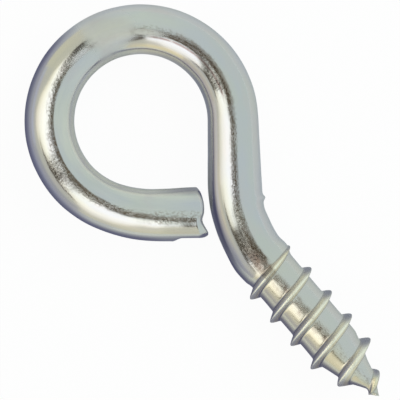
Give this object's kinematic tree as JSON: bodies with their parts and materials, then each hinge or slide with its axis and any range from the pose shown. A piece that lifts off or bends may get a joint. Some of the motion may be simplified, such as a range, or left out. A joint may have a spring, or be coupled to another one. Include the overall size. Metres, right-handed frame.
{
  "type": "screw eye",
  "caption": "Steel screw eye: a round wire eye on a cranked neck, with a coarse wood thread and gimlet point, for hanging or guiding a cord, hook or chain.",
  "frame": {"origin": "centre of the eye, on the middle plane of the wire", "axes": "+Z along the eye's own axis and up as the piece lies, +X along the shank towards the point, +Y across the eye in its plane"},
  "size_m": [0.04, 0.0194, 0.0056],
  "materials": {
    "zinc_plated_steel": "bright zinc plating over drawn and rolled wire, with faint tool marks and rough patches in the bends"
  },
  "bodies": {
    "root": {"screw_eye": "zinc_plated_steel"}
  },
  "joints": []
}
